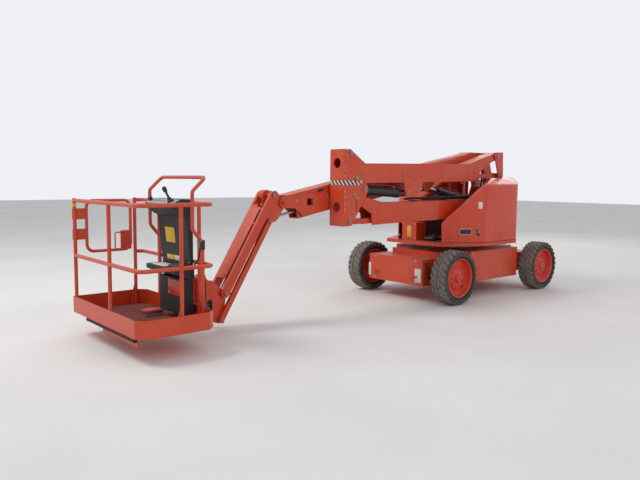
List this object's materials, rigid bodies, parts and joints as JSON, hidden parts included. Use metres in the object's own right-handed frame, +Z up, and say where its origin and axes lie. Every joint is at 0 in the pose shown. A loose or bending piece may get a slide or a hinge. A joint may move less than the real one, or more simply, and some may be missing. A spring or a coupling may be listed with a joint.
{
  "type": "articulating boom lift",
  "caption": "Self-propelled articulating boom lift: four-wheel chassis, slewing turntable, folding tower, telescopic main boom, jib and railed work platform.",
  "frame": {"origin": "on the ground under the swing axis, midway between the axles", "axes": "+X towards the platform end, +Y the machine's left, +Z up"},
  "size_m": [6.6646, 1.75, 2.0018],
  "materials": {
    "tyre": "grey dusty rubber with block tread",
    "rim_orange": "gloss orange paint, dusty",
    "orange_paint": "gloss orange-red paint with wear at the edges",
    "hood_orange": "gloss orange-red panel",
    "machined_steel": "machined, greased",
    "counterweight_orange": "painted casting",
    "dark_block": "dark grey",
    "black_paint": "satin black paint",
    "chromed_rod": "polished",
    "black_plastic": "fine-grained black",
    "grey_casting": "cast, worn",
    "black_rubber": "matt"
  },
  "bodies": {
    "chassis": {"chassis_frame": "orange_paint", "slew_ring": "machined_steel", "rear_axle": "orange_paint", "front_axle": "orange_paint"},
    "front_left_knuckle": {"front_left_knuckle": "orange_paint"},
    "front_right_knuckle": {"front_right_knuckle": "orange_paint"},
    "turntable": {"turntable_deck": "orange_paint", "counterweight": "counterweight_orange", "tower_base": "orange_paint", "hood_frame_left": "orange_paint", "hood_frame_right": "orange_paint", "battery_block": "dark_block", "power_unit_block": "dark_block", "turntable_front_box": "orange_paint"},
    "hood_left": {"hood_left": "hood_orange"},
    "hood_right": {"hood_right": "hood_orange"},
    "lower_arm": {"lower_arm": "orange_paint"},
    "lower_link": {"lower_link": "orange_paint"},
    "mid_upright": {"mid_upright": "orange_paint"},
    "upper_arm": {"upper_arm": "orange_paint"},
    "upper_link": {"upper_link": "orange_paint"},
    "rear_upright": {"rear_upright": "orange_paint"},
    "tower_cylinder_barrel": {"tower_cylinder_barrel": "black_paint"},
    "tower_cylinder_rod": {"tower_cylinder_rod": "chromed_rod"},
    "boom_base": {"boom_base": "orange_paint"},
    "boom_cylinder_barrel": {"boom_cylinder_barrel": "black_paint"},
    "boom_cylinder_rod": {"boom_cylinder_rod": "chromed_rod"},
    "fly_boom": {"fly_boom": "orange_paint", "level_cylinder_barrel": "black_paint"},
    "level_cylinder_rod": {"level_cylinder_rod": "chromed_rod"},
    "jib_knuckle": {"jib_knuckle": "orange_paint"},
    "jib_arm": {"jib_arm": "orange_paint"},
    "jib_link": {"jib_link": "orange_paint"},
    "jib_cylinder_barrel": {"jib_cylinder_barrel": "black_paint"},
    "jib_cylinder_rod": {"jib_cylinder_rod": "chromed_rod"},
    "platform_bracket": {"platform_bracket": "orange_paint"},
    "platform": {"platform_carrier": "orange_paint", "platform_tray": "orange_paint", "platform_rails": "orange_paint", "console_guard": "orange_paint", "control_console": "black_plastic", "tool_tray": "black_plastic", "load_sensor_box": "black_plastic", "foot_switch": "grey_casting", "front_bumper": "orange_paint", "bumper_hose": "black_rubber"},
    "platform_gate": {"platform_gate": "orange_paint"},
    "front_left_wheel": {"front_left_tyre": "tyre", "front_left_rim": "rim_orange"},
    "front_right_wheel": {"front_right_tyre": "tyre", "front_right_rim": "rim_orange"},
    "rear_left_wheel": {"rear_left_tyre": "tyre", "rear_left_rim": "rim_orange"},
    "rear_right_wheel": {"rear_right_tyre": "tyre", "rear_right_rim": "rim_orange"}
  },
  "joints": [
    {"name": "swing", "type": "hinge", "parent": "chassis", "child": "turntable", "pos_m": [0, 0, 0.71], "axis": [0, 0, 1], "range_deg": [-178, 178]},
    {"name": "steer_left", "type": "hinge", "parent": "chassis", "child": "front_left_knuckle", "pos_m": [1.005, 0.56, 0.35], "axis": [0, 0, 1], "range_deg": [-28, 28]},
    {"name": "steer_right", "type": "hinge", "parent": "chassis", "child": "front_right_knuckle", "pos_m": [1.005, -0.56, 0.35], "axis": [0, 0, 1], "range_deg": [-28, 28]},
    {"name": "front_left_wheel_spin", "type": "hinge", "parent": "front_left_knuckle", "child": "front_left_wheel", "pos_m": [1.005, 0.755, 0.35], "axis": [0, 1, 0], "continuous": true},
    {"name": "front_right_wheel_spin", "type": "hinge", "parent": "front_right_knuckle", "child": "front_right_wheel", "pos_m": [1.005, -0.755, 0.35], "axis": [0, 1, 0], "continuous": true},
    {"name": "rear_left_wheel_spin", "type": "hinge", "parent": "chassis", "child": "rear_left_wheel", "pos_m": [-1.005, 0.755, 0.35], "axis": [0, 1, 0], "continuous": true},
    {"name": "rear_right_wheel_spin", "type": "hinge", "parent": "chassis", "child": "rear_right_wheel", "pos_m": [-1.005, -0.755, 0.35], "axis": [0, 1, 0], "continuous": true},
    {"name": "hood_left_open", "type": "hinge", "parent": "turntable", "child": "hood_left", "pos_m": [0, 0.457, 1.629], "axis": [1, 0, 0], "range_deg": [0, 55]},
    {"name": "hood_right_open", "type": "hinge", "parent": "turntable", "child": "hood_right", "pos_m": [0, -0.287, 1.629], "axis": [-1, 0, 0], "range_deg": [0, 55]},
    {"name": "tower_lift", "type": "hinge", "parent": "turntable", "child": "lower_arm", "pos_m": [-0.47478, 0.311, 1.40467], "axis": [0, -1, 0], "range_deg": [0, 68]},
    {"name": "lower_link_turn", "type": "hinge", "parent": "turntable", "child": "lower_link", "pos_m": [-0.37478, 0.311, 1.12867], "axis": [0, -1, 0], "range_deg": [0, 68]},
    {"name": "mid_upright_turn", "type": "hinge", "parent": "lower_arm", "child": "mid_upright", "pos_m": [2.445, 0.311, 1.369], "axis": [0, -1, 0], "range_deg": [-68, 0]},
    {"name": "upper_arm_turn", "type": "hinge", "parent": "mid_upright", "child": "upper_arm", "pos_m": [2.545, 0.311, 1.879], "axis": [0, -1, 0], "range_deg": [-68, 0]},
    {"name": "upper_link_turn", "type": "hinge", "parent": "mid_upright", "child": "upper_link", "pos_m": [2.445, 0.311, 1.603], "axis": [0, -1, 0], "range_deg": [-68, 0]},
    {"name": "rear_upright_turn", "type": "hinge", "parent": "upper_arm", "child": "rear_upright", "pos_m": [-0.37436, 0.311, 1.94015], "axis": [0, -1, 0], "range_deg": [0, 68]},
    {"name": "tower_barrel_turn", "type": "hinge", "parent": "mid_upright", "child": "tower_cylinder_barrel", "pos_m": [2.316, 0.311, 1.463], "axis": [0, -1, 0], "range_deg": [-67.14, 0]},
    {"name": "tower_rod_slide", "type": "slide", "parent": "tower_cylinder_barrel", "child": "tower_cylinder_rod", "axis": [-0.9986, 0, -0.053], "range_m": [0, 0.53137]},
    {"name": "boom_lift", "type": "hinge", "parent": "rear_upright", "child": "boom_base", "pos_m": [-0.45, 0.06, 1.8], "axis": [0, -1, 0], "range_deg": [0, 84]},
    {"name": "boom_barrel_turn", "type": "hinge", "parent": "rear_upright", "child": "boom_cylinder_barrel", "pos_m": [-0.4, 0.06, 1.262], "axis": [0, -1, 0], "range_deg": [0, 67.44]},
    {"name": "boom_rod_slide", "type": "slide", "parent": "boom_cylinder_barrel", "child": "boom_cylinder_rod", "axis": [0.9851, 0, 0.1718], "range_m": [0, 0.57393]},
    {"name": "boom_telescope", "type": "slide", "parent": "boom_base", "child": "fly_boom", "axis": [0.9826, 0, -0.1857], "range_m": [0, 1.2]},
    {"name": "jib_knuckle_turn", "type": "hinge", "parent": "fly_boom", "child": "jib_knuckle", "pos_m": [3.312, 0.06, 1.326], "axis": [0, -1, 0], "range_deg": [-84, 0]},
    {"name": "level_rod_slide", "type": "slide", "parent": "fly_boom", "child": "level_cylinder_rod", "axis": [0.9764, 0, -0.2161], "range_m": [-0.25746, 0]},
    {"name": "jib_lift", "type": "hinge", "parent": "jib_knuckle", "child": "jib_arm", "pos_m": [3.455, 0.06, 1.405], "axis": [0, -1, 0], "range_deg": [-1.5, 142.5]},
    {"name": "jib_link_turn", "type": "hinge", "parent": "jib_knuckle", "child": "jib_link", "pos_m": [3.504, 0.06, 1.1293], "axis": [0, -1, 0], "range_deg": [-1.5, 142.5]},
    {"name": "jib_barrel_turn", "type": "hinge", "parent": "jib_knuckle", "child": "jib_cylinder_barrel", "pos_m": [3.504, 0.098, 1.1293], "axis": [0, -1, 0], "range_deg": [-1.48, 139.22]},
    {"name": "jib_rod_slide", "type": "slide", "parent": "jib_cylinder_barrel", "child": "jib_cylinder_rod", "axis": [0.6136, 0, -0.7896], "range_m": [-0.00604, 0.52665]},
    {"name": "platform_level", "type": "hinge", "parent": "jib_arm", "child": "platform_bracket", "pos_m": [4.07155, 0.06, 0.39888], "axis": [0, -1, 0], "range_deg": [-142.5, 1.5]},
    {"name": "platform_rotate", "type": "hinge", "parent": "platform_bracket", "child": "platform", "pos_m": [4.3, 0.06, 0.45], "axis": [0, 0, 1], "range_deg": [-90, 90]},
    {"name": "gate_swing", "type": "hinge", "parent": "platform", "child": "platform_gate", "pos_m": [5.2847, -0.6747, 1.1], "axis": [0, 0, -1], "range_deg": [0, 70]}
  ],
  "couplings": [
    {"joint": "steer_right", "follows": "steer_left", "ratio": 1},
    {"joint": "lower_link_turn", "follows": "tower_lift", "ratio": 1},
    {"joint": "mid_upright_turn", "follows": "tower_lift", "ratio": -1},
    {"joint": "upper_arm_turn", "follows": "tower_lift", "ratio": -1},
    {"joint": "upper_link_turn", "follows": "tower_lift", "ratio": -1},
    {"joint": "rear_upright_turn", "follows": "tower_lift", "ratio": 1},
    {"joint": "tower_barrel_turn", "follows": "tower_lift", "ratio": -0.98726},
    {"joint": "tower_rod_slide", "follows": "tower_lift", "m_per_rad": 0.4473},
    {"joint": "boom_barrel_turn", "follows": "boom_lift", "ratio": 0.8028},
    {"joint": "boom_rod_slide", "follows": "boom_lift", "m_per_rad": 0.39114},
    {"joint": "jib_knuckle_turn", "follows": "boom_lift", "ratio": -1},
    {"joint": "level_rod_slide", "follows": "boom_lift", "m_per_rad": -0.17527},
    {"joint": "jib_link_turn", "follows": "jib_lift", "ratio": 1},
    {"joint": "jib_barrel_turn", "follows": "jib_lift", "ratio": 0.97695},
    {"joint": "jib_rod_slide", "follows": "jib_lift", "m_per_rad": 0.21155},
    {"joint": "platform_level", "follows": "jib_lift", "ratio": -1}
  ]
}
